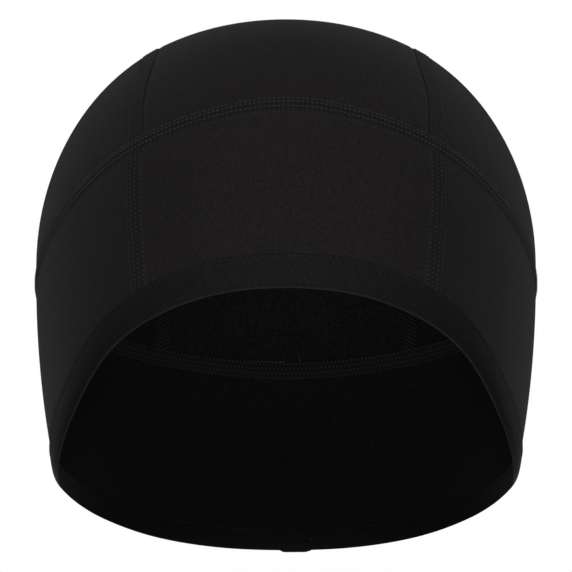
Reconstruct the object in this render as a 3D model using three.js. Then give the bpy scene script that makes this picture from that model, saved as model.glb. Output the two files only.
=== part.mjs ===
import * as THREE from "three";

// Helmet liner cap: a close skull cap of brushed stretch jersey that covers the ears and the nape.
// Five panels are joined by flat seams, and a folded binding runs round the whole rim.
// Millimetres, +Z up, the face looks along -Y, so the wearer's left is +X.
// The origin is the inside of the crown's top, which rests on the head.

// Head form, measured on the outside of the cloth
const headWidth = 172; // across the widest level, a little above the ears
const browDepth = 100; // from the widest place forwards to the brow
const napeDepth = 106; // from the widest place back to the nape
const crownHeight = 81.4; // from the widest level up to the top of the crown
const crownShoulder = 0.155; // how far the crown's shoulder fills out beyond an ellipse, as a share
// Under the widest level the form draws in along an ellipse; these are that ellipse's half heights
const browTaper = 260;
const earTaper = 173;
const napeTaper = 141;

// Heights of the rim and of the cross seam, from the widest level
const browRimDrop = 32;
const napeRimDrop = 84.7;
const browSeamRise = 30;
const napeSeamDrop = 14;

// Widths between the two seams that run along the centre strip
const stripRimWidth = 94; // at the rim of the forehead panel
const stripFrontWidth = 98.8; // where the strip meets the cross seam in front
const stripTopWidth = 93; // halfway over the crown
const stripBackWidth = 92.8; // where it meets the cross seam at the back

// Cloth, seams and binding
const cloth = 1.3;
const seamWidth = 5.8;
const seamProud = 0.45; // how far a seam stands over the cloth on each face
const bindingHeight = 11;
const bindingLeaf = 1; // one layer of the folded tape
const bindingFold = 2.2; // height of the rounded fold at the rim
const lapLength = 11; // the tape's end lies this far over its start
const lapRamp = 3; // in which the end climbs onto the start
const lapOffset = 3.65; // the lap's middle, left of the back's centre
const clearance = 0.3; // left open between pieces that touch

// Round the head in equal steps of turn from the front's centre to the back's centre.
// rim: how far the rim has dropped, as a share of the way from the brow's rim to the nape's.
// seam: how high the cross seam runs, as a share of the way from the nape's height to the brow's.
const COURSE = [
  { turn: 0, rim: 0, seam: 1 },
  { turn: 20, rim: 0.05, seam: 0.915 },
  { turn: 40, rim: 0.232, seam: 0.735 },
  { turn: 60, rim: 0.59, seam: 0.437 },
  { turn: 80, rim: 0.825, seam: 0.172 },
  { turn: 100, rim: 0.84, seam: 0.092 },
  { turn: 120, rim: 0.896, seam: 0.078 },
  { turn: 140, rim: 0.954, seam: 0.045 },
  { turn: 160, rim: 0.988, seam: 0.018 },
  { turn: 180, rim: 1, seam: 0 },
];

// How finely the pieces are faceted
const rimSteps = 76;
const crossSteps = 72;
const crownSteps = 30;
const napeSteps = 52;
const browSteps = 12;
const heightSteps = 6;
const stripSteps = 8;
const sideSteps = 9;

const { lerp, degToRad, smoothstep } = THREE.MathUtils;
const halfWidth = headWidth / 2;
const slotMiddle = -cloth / 2;
const seamEdge = seamWidth / 2 + clearance; // from a seam's centre line to the panels beside it
const rawEdge = bindingLeaf + clearance; // from the rim's fold up to the panels' raw edge

// Reads a column of COURSE at a turn in degrees, by a Catmull-Rom curve that mirrors at both ends.
function course(turn, column) {
  const last = COURSE.length - 1;
  const at = (Math.abs(((turn + 900) % 360) - 180) * last) / 180;
  const row = Math.min(Math.floor(at), last - 1);
  const value = (i) => COURSE[last - Math.abs(last - Math.abs(i))][column];
  const [a, b, c, d] = [value(row - 1), value(row), value(row + 1), value(row + 2)];
  const t = at - row;
  return b + (t / 2) * (c - a + t * (2 * a - 5 * b + 4 * c - d + t * (3 * (b - c) + d - a)));
}

const rimHeight = (turn) => lerp(-browRimDrop, -napeRimDrop, course(turn, "rim"));
const seamHeight = (turn) => lerp(-napeSeamDrop, browSeamRise, course(turn, "seam"));

// Every line is first drawn on a plain form, a half ball of radius 1 over a tube, which is then
// stretched to the head. This pulls a point onto the plain form.
function toPlain(point) {
  if (point.z > 0) return point.clone().normalize();
  const across = Math.hypot(point.x, point.y);
  return new THREE.Vector3(point.x / across, point.y / across, point.z);
}

// The point of the plain form at a turn round the head and a height over the widest level.
function plainPoint(turn, height) {
  const z = height / crownHeight;
  const across = z > 0 ? Math.sqrt(1 - z * z) : 1;
  const angle = degToRad(turn);
  return new THREE.Vector3(Math.sin(angle) * across, -Math.cos(angle) * across, z);
}

// Stretches the plain form to the head: an ellipse in plan, drawn in towards the rim below the widest
// level and filled out at the crown's shoulder above it.
function headPoint(plain) {
  const front = plain.y < 0;
  const rise = Math.max(plain.z, 0) ** 2;
  const shoulder = 1 + crownShoulder * (rise + rise ** 2 + rise ** 3);
  const taper = plain.x ** 2 / earTaper + plain.y ** 2 / (front ? browTaper : napeTaper);
  const drop = Math.min(plain.z, 0) * crownHeight * taper;
  const spread = Math.sqrt(shoulder * (1 - drop ** 2));
  return new THREE.Vector3(
    halfWidth * spread * plain.x,
    (front ? browDepth : napeDepth) * spread * plain.y,
    crownHeight * (plain.z - 1) + cloth,
  );
}

// The plain form's point under a point on or near the head.
function fromHead(point) {
  const z = (point.z - cloth) / crownHeight + 1;
  const depth = point.y < 0 ? browDepth : napeDepth;
  const plan = new THREE.Vector2(point.x / halfWidth, point.y / depth);
  plan.setLength(z > 0 ? Math.sqrt(Math.max(1 - z * z, 0)) : 1);
  return new THREE.Vector3(plan.x, plan.y, z);
}

// The way out of the head at a point of the plain form.
function outward(plain) {
  const step = 1e-3;
  const round = new THREE.Vector3(-plain.y, plain.x, 0);
  if (round.length() < step) round.set(1, 0, 0);
  round.normalize();
  const up = plain.clone().cross(round);
  const slope = (way) => {
    const ahead = headPoint(toPlain(plain.clone().addScaledVector(way, step)));
    return ahead.sub(headPoint(toPlain(plain.clone().addScaledVector(way, -step))));
  };
  return slope(round).cross(slope(up)).normalize();
}

const lifted = (plain, out) => headPoint(plain).addScaledVector(outward(plain), out);

// The middle of the bracket where a rising or falling value passes nought.
function solve(value, low, high) {
  const rising = value(high) > value(low);
  for (let i = 0; i < 40; i++) {
    const middle = (low + high) / 2;
    if (value(middle) > 0 === rising) high = middle;
    else low = middle;
  }
  return (low + high) / 2;
}

// A line is a function from a number to a point of the plain form.
function along(line, at) {
  const step = 1e-3;
  return headPoint(line(at + step)).sub(headPoint(line(at - step))).normalize();
}

// Sideways from a line in the surface, to the left of its way when seen from outside.
const sideways = (line, at) => outward(line(at)).cross(along(line, at));

// The point that lies a distance beside a line.
function beside(line, at, distance) {
  return fromHead(headPoint(line(at)).addScaledVector(sideways(line, at), distance));
}

// How far a point lies beside a line, whose nearest place is between low and high.
function distanceTo(line, plain, low, high) {
  const point = headPoint(plain);
  const ahead = (at) => headPoint(line(at)).sub(point).dot(along(line, at));
  const nearest = solve(ahead, low, high);
  return point.sub(headPoint(line(nearest))).dot(sideways(line, nearest));
}

// The two closed lines round the head, by turn in degrees
const rimLine = (turn) => plainPoint(turn, rimHeight(turn));
const crossLine = (turn) => plainPoint(turn, seamHeight(turn));

// Where the strip's seams cross them on the left
const turnAt = (line, width, low, high) => solve((turn) => headPoint(line(turn)).x - width / 2, low, high);
const rimTurn = turnAt(rimLine, stripRimWidth, 5, 80);
const frontTurn = turnAt(crossLine, stripFrontWidth, 5, 80);
const backTurn = turnAt(crossLine, stripBackWidth, 100, 175);
const nearTurn = 25; // how far from these turns a nearest place is looked for

// The forehead seam's centre line on the left, from the rim up to the cross seam.
function frontLine(share) {
  return toPlain(rimLine(rimTurn).lerp(crossLine(frontTurn), share));
}

// The plain form's point at an angle over the top, from front to back, and a share sideways.
function overTop(sideShare, angle) {
  const across = Math.sqrt(1 - sideShare ** 2);
  const low = Math.sin(angle) < 0;
  const y = low ? across * Math.sign(-Math.cos(angle)) : -across * Math.cos(angle);
  return new THREE.Vector3(sideShare, y, low ? -y * Math.tan(angle) : across * Math.sin(angle));
}

// The crown seam's centre line on the left, over the top from the front to the back of the cross seam.
// The strip narrows or widens towards each end as the square of the way from the top.
const overAngle = (plain) => (Math.atan2(plain.z, -plain.y) + 2 * Math.PI) % (2 * Math.PI);
const frontAngle = overAngle(crossLine(frontTurn));
const backAngle = overAngle(crossLine(backTurn));
function crownLine(share) {
  const endWidth = share < 0.5 ? stripFrontWidth : stripBackWidth;
  const reach = lerp(stripTopWidth, endWidth, (1 - 2 * share) ** 2) / 2;
  const angle = lerp(frontAngle, backAngle, share);
  let sideShare = reach / halfWidth;
  for (let i = 0; i < 8; i++) sideShare *= reach / headPoint(overTop(sideShare, angle)).x;
  return overTop(sideShare, angle);
}

// The number on a line at which the place beside it comes to a distance from another line.
function meeting(line, distance, low, high, other, gap, otherLow, otherHigh) {
  return solve((at) => distanceTo(other, beside(line, at, distance), otherLow, otherHigh) - gap, low, high);
}

// The ends of a line beside the forehead seam, under the cross seam and over a height above the rim.
function frontEnds(distance, foot) {
  const [rimLow, rimHigh] = [rimTurn - nearTurn, rimTurn + nearTurn];
  const [crossLow, crossHigh] = [frontTurn - nearTurn, frontTurn + nearTurn];
  return [
    meeting(frontLine, distance, 0, 0.5, rimLine, foot, rimLow, rimHigh),
    meeting(frontLine, distance, 0.7, 1, crossLine, -seamEdge, crossLow, crossHigh),
  ];
}

// The ends of a line beside the crown seam, both over the cross seam.
function crownEnds(distance) {
  const near = (turn) => [crossLine, seamEdge, turn - nearTurn, turn + nearTurn];
  return [
    meeting(crownLine, distance, 0, 0.2, ...near(frontTurn)),
    meeting(crownLine, distance, 0.8, 1, ...near(backTurn)),
  ];
}

// The turn at which a line beside the rim or the cross seam comes to the strip's seams.
const turnTo = (line, distance, turn, other, gap, low, high) =>
  meeting(line, distance, turn - nearTurn / 2, turn + nearTurn / 2, other, gap, low, high);

const edge = (line, distance, from, to) => (share) => beside(line, lerp(from, to, share), distance);
const mirrored = (line) => (share) => line(share).multiply(new THREE.Vector3(-1, 1, 1));

// A four-sided patch of the plain form between its edges: left and right run from bottom to top, and
// bottom and top from left to right. It is the sum of both pairs blended, less the corners counted twice.
function patch(bottom, top, left, right) {
  const [bottomLeft, bottomRight, topLeft, topRight] = [bottom(0), bottom(1), top(0), top(1)];
  return (u, v) => {
    const point = bottom(u).multiplyScalar(1 - v).addScaledVector(top(u), v);
    point.addScaledVector(left(v), 1 - u).addScaledVector(right(v), u);
    point.addScaledVector(bottomLeft, -(1 - u) * (1 - v)).addScaledVector(bottomRight, -u * (1 - v));
    point.addScaledVector(topLeft, -(1 - u) * v).addScaledVector(topRight, -u * v);
    return toPlain(point);
  };
}

const shares = (steps) => Array.from({ length: steps + 1 }, (_, i) => i / steps);

// Carries a section along stations and closes it into one solid. The section is two chains of equal
// length, outer and inner, of [across, out] pairs; place gives a pair's point at a station. The ends are
// closed by a ladder between the chains, and all faces are turned outwards.
function sweep(outer, inner, stations, place, closed = false) {
  const ring = [...outer, ...inner.toReversed()];
  const size = ring.length;
  const points = stations.flatMap((station) => ring.map(([across, out]) => place(station, across, out)));
  const faces = [];
  const quad = (a, b, c, d) => faces.push([a, b, c], [a, c, d]);
  for (let i = 0; i < (closed ? stations.length : stations.length - 1); i++) {
    const here = i * size;
    const next = ((i + 1) % stations.length) * size;
    for (let j = 0; j < size; j++) {
      const k = (j + 1) % size;
      quad(here + j, here + k, next + k, next + j);
    }
  }
  if (!closed) {
    const end = points.length - size;
    for (let j = 0; j < outer.length - 1; j++) {
      const [a, b, c, d] = [j, j + 1, size - 2 - j, size - 1 - j];
      quad(d, c, b, a);
      quad(end + a, end + b, end + c, end + d);
    }
  }
  const swept = ([a, b, c]) => points[a].dot(points[b].clone().cross(points[c]));
  const volume = faces.reduce((sum, face) => sum + swept(face), 0);
  if (volume < 0) faces.forEach((face) => face.reverse());
  const geometry = new THREE.BufferGeometry();
  geometry.setAttribute("position", new THREE.Float32BufferAttribute(points.flatMap((p) => p.toArray()), 3));
  geometry.setIndex(faces.flat());
  geometry.computeVertexNormals();
  return geometry;
}

// A panel of cloth over a patch: u runs across in so many steps, v along the stations.
function panel(surface, steps, stations) {
  const chain = (out) => shares(steps).map((u) => [u, out]);
  return sweep(chain(0), chain(-cloth), stations, (v, u, out) => lifted(surface(u, v), out));
}

// A flat seam's section: a low ridge on each face, whose sides are as thick as the cloth.
const seamProfile = [-1, -0.7, 0, 0.7, 1].map((share) => [
  (share * seamWidth) / 2,
  Math.abs(share) === 1 ? 0 : seamProud,
]);
const seamUnder = seamProfile.map(([across, out]) => [across, -cloth - out]);

// The ridge is pressed down to the cloth's own thickness where the binding holds the seam.
const pressed = (out, press) => (out < 0 ? (out + cloth) * press - cloth : out * press);

// A seam along a line that ends at other lines: ends gives the two ends of the line beside it.
function seam(line, ends, stations, side) {
  const spans = new Map(seamProfile.map(([across]) => [across, ends(across)]));
  return sweep(seamProfile, seamUnder, stations, ({ share, press = 1 }, across, out) => {
    const plain = beside(line, lerp(...spans.get(across), share), across);
    return lifted(plain, pressed(out, press)).multiply(new THREE.Vector3(side, 1, 1));
  });
}

// Crown strip: from the front of the cross seam over the top to its back, u from right to left.
const [stripStart, stripEnd] = crownEnds(seamEdge);
const stripLeft = edge(crownLine, seamEdge, stripStart, stripEnd);
const stripTurnFront = turnTo(crossLine, seamEdge, frontTurn, crownLine, seamEdge, -0.1, 0.3);
const stripTurnBack = turnTo(crossLine, seamEdge, backTurn, crownLine, seamEdge, 0.7, 1.1);
const stripSurface = patch(
  edge(crossLine, seamEdge, -stripTurnFront, stripTurnFront),
  edge(crossLine, seamEdge, 360 - stripTurnBack, stripTurnBack),
  mirrored(stripLeft),
  stripLeft,
);
const crownStrip = panel(stripSurface, stripSteps, shares(crownSteps));

// Crown side: between the crown seam and the cross seam, pointed at both ends. The stations crowd
// towards the points, and stop short of them by a hair.
const pointTrim = 0.02;
const [sideStart, sideEnd] = crownEnds(-seamEdge);
const sideTop = edge(crownLine, -seamEdge, sideStart, sideEnd);
const sideFoot = edge(
  crossLine,
  seamEdge,
  turnTo(crossLine, seamEdge, frontTurn, crownLine, -seamEdge, -0.1, 0.3),
  turnTo(crossLine, seamEdge, backTurn, crownLine, -seamEdge, 0.7, 1.1),
);
const eased = (share) => (1 - Math.cos(Math.PI * lerp(pointTrim, 1 - pointTrim, share))) / 2;
function crownSide(side) {
  const surface = (u, v) => {
    const point = toPlain(sideFoot(v).lerp(sideTop(v), u));
    return point.setX(point.x * side);
  };
  return panel(surface, sideSteps, shares(crownSteps).map(eased));
}

// Forehead panel: under the cross seam between the two upright seams, its foot inside the binding.
const frontInner = edge(frontLine, seamEdge, ...frontEnds(seamEdge, rawEdge));
const browTurn = turnTo(rimLine, rawEdge, rimTurn, frontLine, seamEdge, -0.3, 0.5);
const browTopTurn = turnTo(crossLine, -seamEdge, frontTurn, frontLine, seamEdge, 0.5, 1.3);
const frontSurface = patch(
  edge(rimLine, rawEdge, -browTurn, browTurn),
  edge(crossLine, -seamEdge, -browTopTurn, browTopTurn),
  mirrored(frontInner),
  frontInner,
);
const frontPanel = panel((v, u) => frontSurface(u, v), heightSteps, shares(browSteps));

// Ear and nape panel: from the left upright seam round the back to the right one.
const frontOuter = edge(frontLine, -seamEdge, ...frontEnds(-seamEdge, rawEdge));
const napeTurn = turnTo(rimLine, rawEdge, rimTurn, frontLine, -seamEdge, -0.3, 0.5);
const napeTopTurn = turnTo(crossLine, -seamEdge, frontTurn, frontLine, -seamEdge, 0.5, 1.3);
const napeSurface = patch(
  edge(rimLine, rawEdge, napeTurn, 360 - napeTurn),
  edge(crossLine, -seamEdge, napeTopTurn, 360 - napeTopTurn),
  frontOuter,
  mirrored(frontOuter),
);
const napePanel = panel((v, u) => napeSurface(u, v), heightSteps, shares(napeSteps));

// Cross seam: a closed loop over the ends of all the other seams.
const crossTurns = Array.from({ length: crossSteps }, (_, i) => (i * 360) / crossSteps);
const crossSeam = sweep(
  seamProfile,
  seamUnder,
  crossTurns,
  (turn, across, out) => lifted(beside(crossLine, turn, across), out),
  true,
);

// Crown seam, and the upright seam of the forehead, whose foot is pressed flat inside the binding.
const crownSeam = (side) => seam(crownLine, crownEnds, shares(crownSteps).map((share) => ({ share })), side);
const frontSeamEnds = (across) => frontEnds(across, rawEdge);
const [seamFoot, seamTop] = frontSeamEnds(0);
const [bindingTop] = frontEnds(0, bindingHeight + clearance);
const pressEnd = (bindingTop - seamFoot) / (seamTop - seamFoot);
const frontStations = [
  { share: 0, press: 0 },
  { share: pressEnd, press: 0 },
  ...shares(heightSteps)
    .slice(1)
    .map((share) => ({ share: lerp(pressEnd, 1, share), press: 1 })),
];
const frontSeam = (side) => seam(frontLine, frontSeamEnds, frontStations, side);

// Rim binding: the tape is folded over the panels' raw edge. It starts at the back, runs once round
// the rim, and its end climbs over its start and lies on it.
const leafOut = clearance + bindingLeaf;
const leafIn = -cloth - leafOut;
const foldDepth = leafOut - slotMiddle;
const foldArc = [0, 0.25, 0.5, 0.75, 1].map((share) => [
  bindingFold * (1 - Math.sin(Math.PI * share)),
  share === 0.5 ? slotMiddle : slotMiddle + foldDepth * Math.cos(Math.PI * share),
]);
const bindingOuter = [[bindingHeight, leafOut], ...foldArc, [bindingHeight, leafIn]];
const slotCorner = (bindingLeaf + bindingFold) / 2;
const bindingInner = [
  [bindingHeight, clearance],
  [slotCorner, clearance],
  [bindingLeaf, clearance],
  [bindingLeaf, slotMiddle],
  [bindingLeaf, -cloth - clearance],
  [slotCorner, -cloth - clearance],
  [bindingHeight, -cloth - clearance],
];

const backX = (x) => solve((turn) => headPoint(rimLine(turn)).x - x, 120, 240);
const lapStart = backX(lapOffset - lapLength / 2);
const lapEnd = backX(lapOffset + lapLength / 2);
const climbEnd = backX(lapOffset - lapLength / 2 - clearance);
const climbStart = backX(lapOffset - lapLength / 2 - clearance - lapRamp);
const tapeTurns = [
  ...shares(rimSteps).map((share) => lerp(lapStart, climbStart - 360, share)),
  ...[0.5, 1].map((share) => lerp(climbStart, climbEnd, share) - 360),
  ...shares(3)
    .slice(1)
    .map((share) => lerp(climbEnd, lapEnd, share) - 360),
];
const lapGrowth = (turn) => (bindingLeaf + clearance) * smoothstep(-turn, 360 - climbStart, 360 - climbEnd);
const rimBinding = sweep(bindingOuter, bindingInner, tapeTurns, (turn, across, out) => {
  const grown = lapGrowth(turn);
  const height = across < bindingHeight ? across - grown : across;
  return lifted(beside(rimLine, turn, height), out + Math.sign(out - slotMiddle) * grown);
});

// Colours: near black jersey, and a binding of a smoother, slightly warmer tape
const jersey = { color: 0x1e1c1d, roughness: 0.92, metalness: 0 };
const thread = { color: 0x1b1a1b, roughness: 0.75, metalness: 0 };
const tape = { color: 0x191816, roughness: 0.8, metalness: 0 };

const cap = new THREE.Group();
function add(name, geometry, finish) {
  const mesh = new THREE.Mesh(geometry, new THREE.MeshStandardMaterial(finish));
  mesh.name = name;
  cap.add(mesh);
}

add("crown_strip", crownStrip, jersey);
add("front_panel", frontPanel, jersey);
add("nape_panel", napePanel, jersey);
add("cross_seam", crossSeam, thread);
for (const [name, side] of Object.entries({ left: 1, right: -1 })) {
  add("crown_side_" + name, crownSide(side), jersey);
  add("crown_seam_" + name, crownSeam(side), thread);
  add("front_seam_" + name, frontSeam(side), thread);
}
add("rim_binding", rimBinding, tape);

export default cap;
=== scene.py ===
import math

import bpy
import numpy as np
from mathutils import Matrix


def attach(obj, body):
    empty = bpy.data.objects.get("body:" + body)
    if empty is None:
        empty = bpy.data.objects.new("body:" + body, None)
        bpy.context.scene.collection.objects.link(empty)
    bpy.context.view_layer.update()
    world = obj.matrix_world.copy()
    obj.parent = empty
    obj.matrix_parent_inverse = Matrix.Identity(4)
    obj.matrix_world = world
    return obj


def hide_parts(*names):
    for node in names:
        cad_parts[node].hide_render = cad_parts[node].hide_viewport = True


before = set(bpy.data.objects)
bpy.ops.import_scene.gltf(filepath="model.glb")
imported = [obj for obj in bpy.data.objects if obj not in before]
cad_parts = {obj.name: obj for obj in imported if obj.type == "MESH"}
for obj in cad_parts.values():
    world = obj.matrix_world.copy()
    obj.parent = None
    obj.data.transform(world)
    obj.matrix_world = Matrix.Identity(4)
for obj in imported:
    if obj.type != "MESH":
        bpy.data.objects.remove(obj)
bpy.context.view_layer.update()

# Studio
# The cap is shown filled out and held in the air, as on a head that isn't there, in a white room
# over a pale floor. The camera looks up at the forehead from a little below.

PHOTO_SIDE, FOCAL, FILM = 572, 3332, 36  # pixels, pixels, millimetres
CAMERA_REACH, CAMERA_TILT = 1.15, math.radians(14)
AIM = np.array([0, 0, -0.0868])  # the camera and the lights face it
FLOOR_LEVEL, FLOOR_HALF = -2.2, 9

camera = bpy.data.objects.new("camera", bpy.data.cameras.new("camera"))
camera.data.sensor_width = FILM
camera.data.lens = FOCAL / PHOTO_SIDE * FILM
camera.location = AIM - CAMERA_REACH * np.array([0, math.cos(CAMERA_TILT), math.sin(CAMERA_TILT)])
camera.rotation_euler = (math.pi / 2 + CAMERA_TILT, 0, 0)
camera.data.clip_end = 50
bpy.context.scene.collection.objects.link(camera)
bpy.context.scene.camera = camera
bpy.context.scene.view_settings.view_transform = "Standard"


def soft_light(name, turn, rise, size, power, reach):
    """A square panel of light that faces the cap, from a turn off the front and a rise. It lies on a sphere
    round the cap, and its downward normal is turned to the middle by both angles."""
    turn, rise = math.radians(turn), math.radians(rise)
    light = bpy.data.objects.new(name, bpy.data.lights.new(name, "AREA"))
    light.data.size = size
    light.data.energy = power
    way = [math.sin(turn) * math.cos(rise), -math.cos(turn) * math.cos(rise), math.sin(rise)]
    light.location = AIM + reach * np.array(way)
    light.rotation_euler = (math.pi / 2 - rise, 0, turn)
    light.visible_camera = False
    bpy.context.scene.collection.objects.link(light)


# name, turn and rise in degrees, size in metres, power in watts, distance in metres
LIGHTS = (
    ("front_light", 0, 20, 1.2, 4.4, 2.0),
    ("level_light", 0, -12, 0.9, 4.6, 2.0),
    ("low_light", 0, -26, 0.5, 7.9, 1.4),
    ("top_light", 180, 48, 1.6, 2.6, 2.0),
    ("back_light", 180, 0, 1.2, 8.0, 2.0),
    ("left_light", 50, 32, 1.2, 10.1, 2.0),
    ("left_back_light", 130, 30, 1.2, 3.0, 2.0),
    ("right_light", -50, 32, 1.2, 10.1, 2.0),
    ("right_back_light", -130, 30, 1.2, 3.0, 2.0),
)
for row in LIGHTS:
    soft_light(*row)

room = bpy.data.worlds.new("room")
room.use_nodes = True
bpy.context.scene.world = room


class Shade:
    """One output of a node. A sum that is written on it adds its Math nodes to the same tree."""

    def __init__(self, tree, socket=None):
        self.tree, self.socket = tree, socket

    def node(self, kind, settings, sockets, output=0):
        """Adds a node: its settings first, then each socket's value or link."""
        made = self.tree.nodes.new(kind)
        for name, value in settings.items():
            setattr(made, name, value)
        for name, value in sockets.items():
            if isinstance(value, Shade):
                self.tree.links.new(value.socket, made.inputs[name])
            else:
                made.inputs[name].default_value = value
        return Shade(self.tree, made.outputs[output] if made.outputs else None)

    def output(self, name):
        """Another output of the same node."""
        return Shade(self.tree, self.socket.node.outputs[name])

    def maths(self, operation, first, second=0.0):
        """A Math node on one or two values."""
        return self.node("ShaderNodeMath", {"operation": operation}, {0: first, 1: second})

    def __add__(self, other):
        return self.maths("ADD", self, other)

    def __sub__(self, other):
        return self.maths("SUBTRACT", self, other)

    def __rsub__(self, other):
        return self.maths("SUBTRACT", other, self)

    def __mul__(self, other):
        return self.maths("MULTIPLY", self, other)

    __radd__, __rmul__ = __add__, __mul__

    def wave(self):
        """A cosine from -1 to 1 that repeats with every whole number."""
        return self.maths("COSINE", self * (2 * math.pi))

    def noise(self, scale, detail):
        """Soft noise over this place, with so many finer copies added."""
        return self.node("ShaderNodeTexNoise", {}, {"Vector": self, "Scale": scale, "Detail": detail})

    def blend(self, low, high):
        """The colour low where this is 0 and high where it is 1."""
        low, high = [tone if isinstance(tone, Shade) else (*tone, 1) for tone in (low, high)]
        return self.node("ShaderNodeMix", {"data_type": "RGBA"}, {0: self, 6: low, 7: high}, 2)


room.node_tree.nodes.clear()
air = Shade(room.node_tree)
seen = air.node("ShaderNodeLightPath", {}, {}).output("Is Camera Ray")
backdrop = air.node("ShaderNodeBackground", {}, {"Color": (1, 1, 1, 1), "Strength": 1})
fill = air.node("ShaderNodeBackground", {}, {"Color": (1, 1, 1, 1), "Strength": 0.02})
air.node(
    "ShaderNodeOutputWorld",
    {},
    {"Surface": air.node("ShaderNodeMixShader", {}, {0: seen, 1: fill, 2: backdrop})},
)

floor_mesh = bpy.data.meshes.new("floor")
corners = FLOOR_HALF * np.array([[-1, -1], [1, -1], [1, 1], [-1, 1]])
floor_mesh.from_pydata([(x, y, FLOOR_LEVEL) for x, y in corners], [], [(0, 1, 2, 3)])
floor = bpy.data.objects.new("floor", floor_mesh)
bpy.context.scene.collection.objects.link(floor)


def material(name, **sockets):
    """A surface from a Principled node; sockets are functions of the tree, or values."""
    made = bpy.data.materials.new(name)
    made.use_nodes = True
    made.node_tree.nodes.clear()
    shade = Shade(made.node_tree)
    values = {
        key.replace("_", " "): value(shade) if callable(value) else value for key, value in sockets.items()
    }
    surface = shade.node("ShaderNodeBsdfPrincipled", {}, values)
    shade.node("ShaderNodeOutputMaterial", {}, {"Surface": surface})
    return made


def floor_glow(shade):
    """The lights are dim beside the white room, so the floor is drawn pale to the camera alone."""
    seen = shade.node("ShaderNodeLightPath", {}, {}).output("Is Camera Ray")
    return seen.blend((0, 0, 0), (0.95, 0.95, 0.95))


pale_floor = material(
    "pale_floor",
    Base_Color=(0.85, 0.85, 0.85, 1),
    Roughness=0.9,
    Emission_Color=floor_glow,
    Emission_Strength=1.0,
)
floor_mesh.materials.append(pale_floor)

# Jersey panels
# Five panels of brushed stretch jersey, cut flat and drawn over the head: the centre strip, a crown side
# on each side of it, the forehead panel, and one panel that wraps round the ears and the nape.
# The outside is a fine velvety rib, and the inside is brushed and darker.

# The head form in millimetres, as the solids have it
HALF_WIDTH = 86
BROW_DEPTH, NAPE_DEPTH = 100, 106
CROWN_HEIGHT = 81.4
CROWN_SHOULDER = 0.155
BROW_TAPER, EAR_TAPER, NAPE_TAPER = 260, 177, 141  # how far down each side would close, as an ellipse
CLOTH = 1.3
STRIP_RIM = 92.4  # between the upright seams' middles, at the rim

# The strip's half width at each tenth of its length, and, at each 20 degrees from front to back, the
# heights of the rim and of the cross seam over the widest level
STRIP_HALVES = np.array([48.9, 49.0, 46.6, 46.1, 46.2, 46.3, 46.4, 46.4, 46.4, 46.4, 46.4])
RIM_HEIGHTS = -32 - 52.7 * np.array([0, 0.05, 0.232, 0.59, 0.822, 0.84, 0.905, 0.968, 1.0, 1.006])
SEAM_HEIGHTS = -14 + 44 * np.array([1, 0.915, 0.735, 0.437, 0.172, 0.092, 0.078, 0.045, 0.018, 0])
SEAM_HALF = 3.15
TUCK = 2.5  # the panels' edges lie this far from a seam's centre line, under its ridge
RAW_EDGE = 2.0  # their feet lie this far over the rim, inside the binding
HEM, HEM_REACH = 0.55, 7.0  # the share by which the binding presses the cloth thinner, and how far up
NEAR = 25  # degrees of turn in which a nearest place is looked for
SMALL = 1e-3  # a step on the plain form, or along a line, for slopes


def course(turn, heights):
    """Values at even steps of 180 degrees, read by a Catmull-Rom curve that mirrors at both ends."""
    last = len(heights) - 1
    at = np.abs((turn + 900) % 360 - 180) * last / 180
    row = np.minimum(np.floor(at), last - 1).astype(int)
    a, b, c, d = [heights[last - np.abs(last - np.abs(row + i))] for i in (-1, 0, 1, 2)]
    t = at - row
    return b + t / 2 * (c - a + t * (2 * a - 5 * b + 4 * c - d + t * (3 * (b - c) + d - a)))


def unit(vectors):
    """Each vector divided by its length."""
    return vectors / np.linalg.norm(vectors, axis=-1, keepdims=True)


def lerp(a, b, share):
    """A straight blend: a at 0 and b at 1."""
    return a + (b - a) * share


def to_plain(point):
    """Onto the plain form: length 1 above the widest level, and 1 in plan below it."""
    plan = np.hypot(point[..., 0], point[..., 1])
    size = np.where(point[..., 2] > 0, np.linalg.norm(point, axis=-1), plan)[..., None]
    return point / np.where((point[..., 2:] > 0) | [True, True, False], size, 1)


def plain_point(turn, height):
    """The point at a turn and a height: z is the height divided by the crown's, and the plan fills up to
    length 1."""
    z = height / CROWN_HEIGHT
    across = np.sqrt(1 - np.maximum(z, 0) ** 2)
    return np.stack([np.sin(np.radians(turn)) * across, -np.cos(np.radians(turn)) * across, z], -1)


def head_point(plain):
    """Stretches the plain form to an ellipse in plan, filled out at the shoulder and drawn in below."""
    x, y, z = np.moveaxis(plain, -1, 0)
    rise = np.maximum(z, 0) ** 2
    shoulder = 1 + CROWN_SHOULDER * (rise + rise**2 + rise**3)
    taper = x**2 / EAR_TAPER + y**2 / np.where(y < 0, BROW_TAPER, NAPE_TAPER)
    spread = np.sqrt(shoulder * (1 - (np.minimum(z, 0) * CROWN_HEIGHT * taper) ** 2))
    depth = np.where(y < 0, BROW_DEPTH, NAPE_DEPTH)
    return np.stack([HALF_WIDTH * spread * x, depth * spread * y, CROWN_HEIGHT * (z - 1) + CLOTH], -1)


def from_head(point):
    """The plain form's point under a point near the head: its height and its direction in plan are kept."""
    z = (point[..., 2] - CLOTH) / CROWN_HEIGHT + 1
    plan = np.stack(
        [point[..., 0] / HALF_WIDTH, point[..., 1] / np.where(point[..., 1] < 0, BROW_DEPTH, NAPE_DEPTH)], -1
    )
    level = np.sqrt(np.maximum(1 - np.maximum(z, 0) ** 2, 0))
    return np.concatenate([unit(plan) * level[..., None], z[..., None]], -1)


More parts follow.
